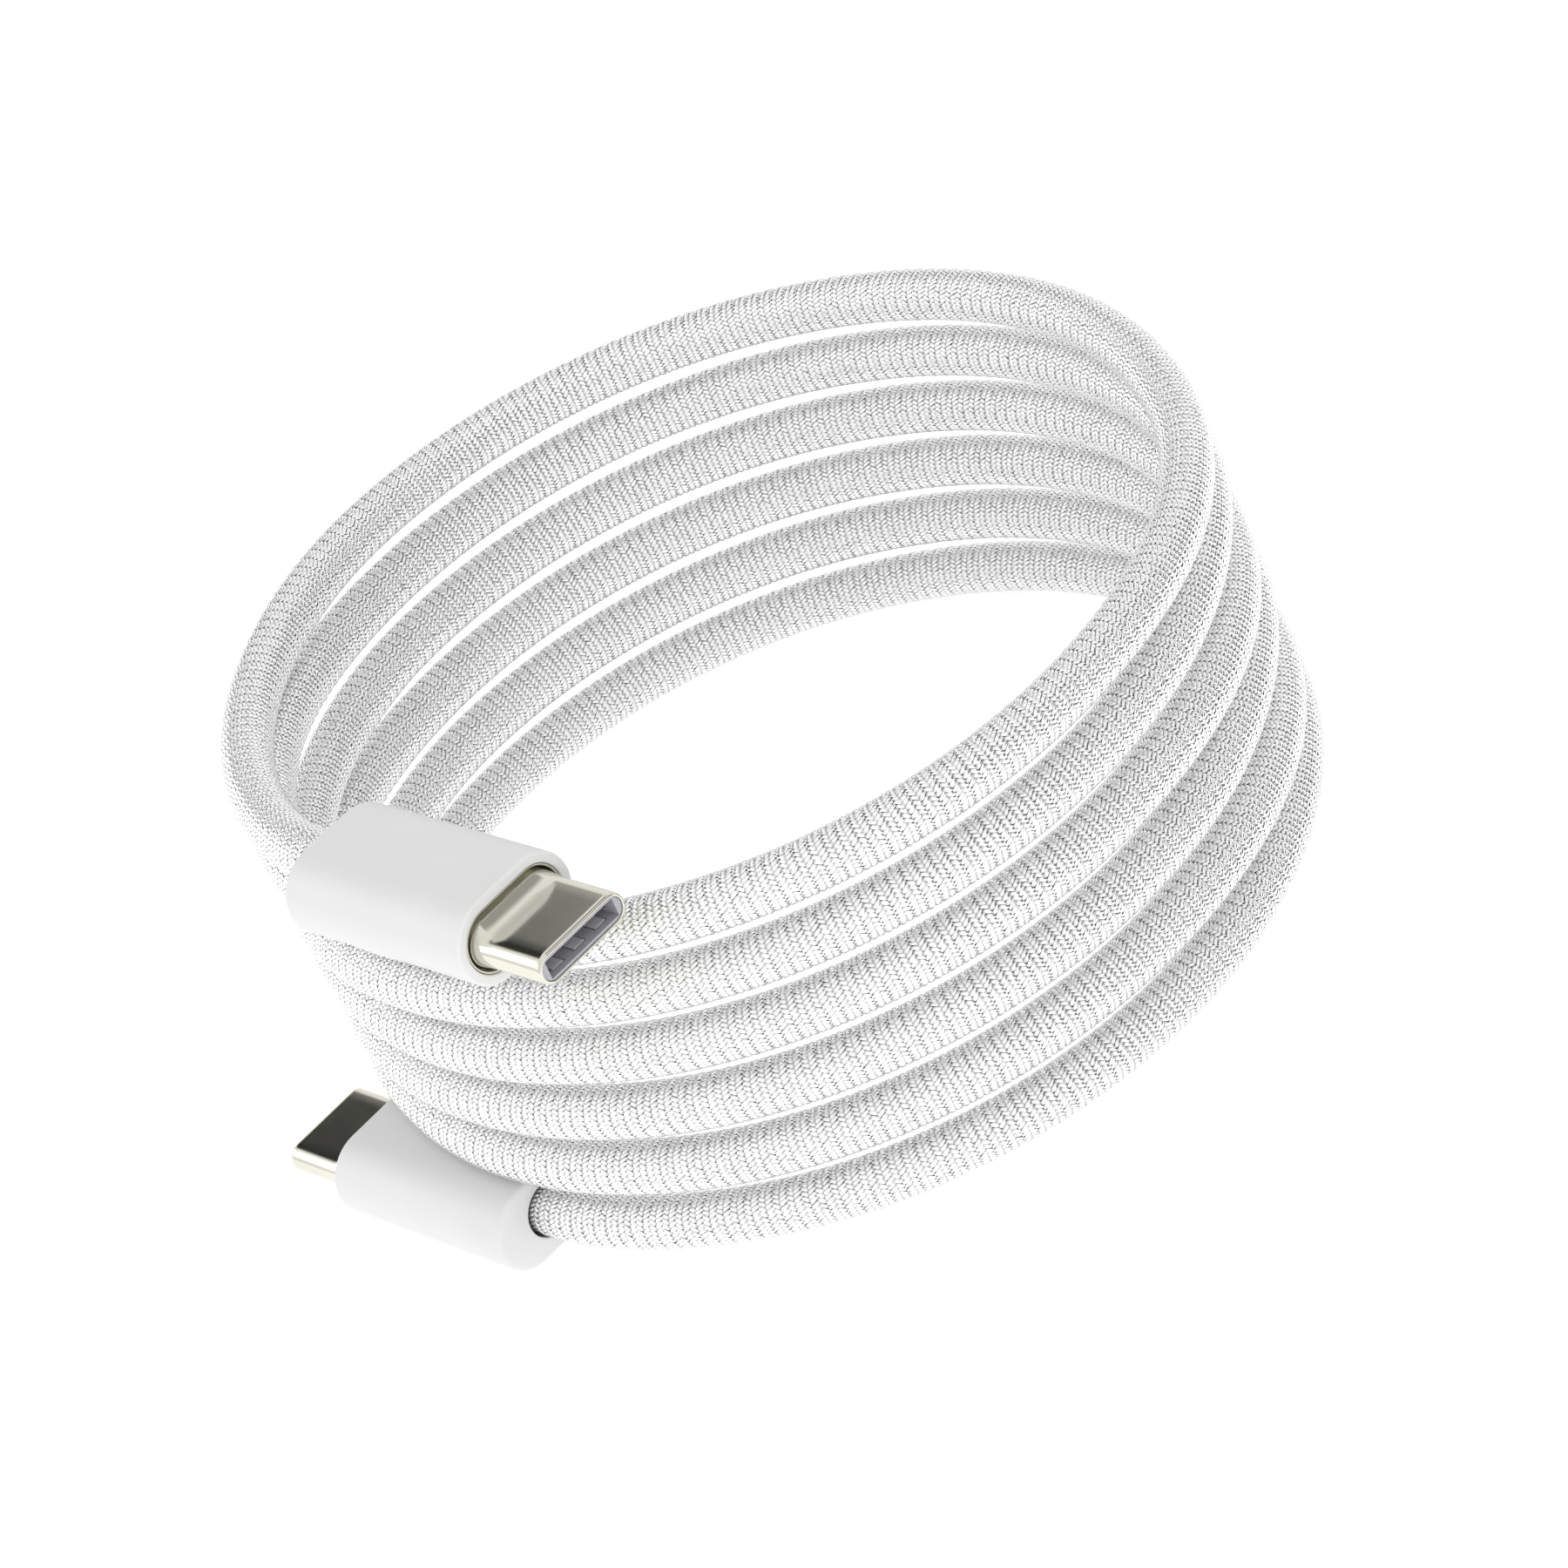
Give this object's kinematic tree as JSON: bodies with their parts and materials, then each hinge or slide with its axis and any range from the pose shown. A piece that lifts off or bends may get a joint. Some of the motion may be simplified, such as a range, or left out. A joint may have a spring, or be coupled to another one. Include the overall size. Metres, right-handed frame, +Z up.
{
  "type": "charging cable",
  "caption": "White braided charging cable wound into a standing round coil, with a flat rounded plug housing and a metal plug on each end.",
  "frame": {"origin": "middle of the resting cable's outline, on the surface that the coil stands on", "axes": "+Z up, along the coil (the coil leans by its helix angle), +X across the coil to the right of both plugs, +Y away from the plug tips"},
  "size_m": [0.0832, 0.0763, 0.0375],
  "materials": {
    "braid": "white braided polyester yarn with a slight gloss",
    "housing": "satin white polycarbonate",
    "nickel": "polished nickel plate",
    "carrier": "grey liquid crystal polymer",
    "contacts": "gold-plated copper alloy",
    "springs": "spring steel strip",
    "board": "green solder mask",
    "chip": "black moulding compound",
    "shield": "tinned steel sheet",
    "mould": "milky polyethylene",
    "power_wires": "insulated power wires",
    "signal_wires": "insulated signal wires",
    "jacket": "soft white elastomer",
    "collar": "dark elastomer"
  },
  "bodies": {
    "cable": {"cable_coil": "braid", "cable_lead_a": "braid", "cable_lead_b": "braid", "plug_a_housing": "housing", "plug_a_shell": "nickel", "plug_a_contact_carrier": "carrier", "plug_a_contact_tails": "contacts", "plug_a_latch_plate": "springs", "plug_a_circuit_board": "board", "plug_a_marker_chip": "chip", "plug_a_resistors": "chip", "plug_a_upper_shield_can": "shield", "plug_a_lower_shield_can": "shield", "plug_a_inner_mould": "mould", "plug_a_crimp_ring": "shield", "plug_a_power_wires": "power_wires", "plug_a_signal_wires": "signal_wires", "plug_a_inner_jacket": "jacket", "plug_a_cord_collar": "collar", "plug_b_housing": "housing", "plug_b_shell": "nickel", "plug_b_contact_carrier": "carrier", "plug_b_contact_tails": "contacts", "plug_b_latch_plate": "springs", "plug_b_circuit_board": "board", "plug_b_resistors": "chip", "plug_b_upper_shield_can": "shield", "plug_b_lower_shield_can": "shield", "plug_b_inner_mould": "mould", "plug_b_crimp_ring": "shield", "plug_b_power_wires": "power_wires", "plug_b_signal_wires": "signal_wires", "plug_b_inner_jacket": "jacket", "plug_b_cord_collar": "collar"},
    "plug_a_left_latch": {"plug_a_left_latch": "springs"},
    "plug_a_right_latch": {"plug_a_right_latch": "springs"},
    "plug_a_upper_contacts": {"plug_a_upper_contacts": "contacts"},
    "plug_a_lower_contacts": {"plug_a_lower_contacts": "contacts"},
    "plug_a_upper_ground_springs": {"plug_a_upper_ground_springs": "springs"},
    "plug_a_lower_ground_springs": {"plug_a_lower_ground_springs": "springs"},
    "plug_b_left_latch": {"plug_b_left_latch": "springs"},
    "plug_b_right_latch": {"plug_b_right_latch": "springs"},
    "plug_b_upper_contacts": {"plug_b_upper_contacts": "contacts"},
    "plug_b_lower_contacts": {"plug_b_lower_contacts": "contacts"},
    "plug_b_upper_ground_springs": {"plug_b_upper_ground_springs": "springs"},
    "plug_b_lower_ground_springs": {"plug_b_lower_ground_springs": "springs"}
  },
  "joints": [
    {"name": "plug_a_left_latch_flex", "type": "hinge", "parent": "cable", "child": "plug_a_left_latch", "pos_m": [-0.01415, -0.02776, 0.03389], "axis": [0.0555, 0.0428, 0.9975], "range_deg": [0, 2.8], "stiffness_Nm_per_rad": 0.05},
    {"name": "plug_a_right_latch_flex", "type": "hinge", "parent": "cable", "child": "plug_a_right_latch", "pos_m": [-0.01936, -0.03119, 0.03433], "axis": [-0.0555, -0.0428, -0.9975], "range_deg": [0, 2.8], "stiffness_Nm_per_rad": 0.05},
    {"name": "plug_a_upper_contacts_flex", "type": "hinge", "parent": "cable", "child": "plug_a_upper_contacts", "pos_m": [-0.01673, -0.02945, 0.03453], "axis": [-0.8334, -0.5483, 0.0699], "range_deg": [0, 2], "stiffness_Nm_per_rad": 0.02},
    {"name": "plug_a_lower_contacts_flex", "type": "hinge", "parent": "cable", "child": "plug_a_lower_contacts", "pos_m": [-0.01678, -0.02949, 0.03369], "axis": [0.8334, 0.5483, -0.0699], "range_deg": [0, 2], "stiffness_Nm_per_rad": 0.02},
    {"name": "plug_a_upper_ground_springs_flex", "type": "hinge", "parent": "cable", "child": "plug_a_upper_ground_springs", "pos_m": [-0.01369, -0.03404, 0.03485], "axis": [-0.8334, -0.5483, 0.0699], "range_deg": [0, 2], "stiffness_Nm_per_rad": 0.02},
    {"name": "plug_a_lower_ground_springs_flex", "type": "hinge", "parent": "cable", "child": "plug_a_lower_ground_springs", "pos_m": [-0.01377, -0.0341, 0.03343], "axis": [0.8334, 0.5483, -0.0699], "range_deg": [0, 2], "stiffness_Nm_per_rad": 0.02},
    {"name": "plug_b_left_latch_flex", "type": "hinge", "parent": "cable", "child": "plug_b_left_latch", "pos_m": [-0.03658, -0.0083, 0.00358], "axis": [0.0583, 0.0385, 0.9976], "range_deg": [0, 2.8], "stiffness_Nm_per_rad": 0.05},
    {"name": "plug_b_right_latch_flex", "type": "hinge", "parent": "cable", "child": "plug_b_right_latch", "pos_m": [-0.03137, -0.00488, 0.00314], "axis": [-0.0583, -0.0385, -0.9976], "range_deg": [0, 2.8], "stiffness_Nm_per_rad": 0.05},
    {"name": "plug_b_upper_contacts_flex", "type": "hinge", "parent": "cable", "child": "plug_b_upper_contacts", "pos_m": [-0.03395, -0.00657, 0.00378], "axis": [0.8334, 0.5483, -0.0699], "range_deg": [0, 2], "stiffness_Nm_per_rad": 0.02},
    {"name": "plug_b_lower_contacts_flex", "type": "hinge", "parent": "cable", "child": "plug_b_lower_contacts", "pos_m": [-0.034, -0.00661, 0.00294], "axis": [-0.8334, -0.5483, 0.0699], "range_deg": [0, 2], "stiffness_Nm_per_rad": 0.02},
    {"name": "plug_b_upper_ground_springs_flex", "type": "hinge", "parent": "cable", "child": "plug_b_upper_ground_springs", "pos_m": [-0.03696, -0.00197, 0.00407], "axis": [0.8334, 0.5483, -0.0699], "range_deg": [0, 2], "stiffness_Nm_per_rad": 0.02},
    {"name": "plug_b_lower_ground_springs_flex", "type": "hinge", "parent": "cable", "child": "plug_b_lower_ground_springs", "pos_m": [-0.03704, -0.00202, 0.00265], "axis": [-0.8334, -0.5483, 0.0699], "range_deg": [0, 2], "stiffness_Nm_per_rad": 0.02}
  ]
}
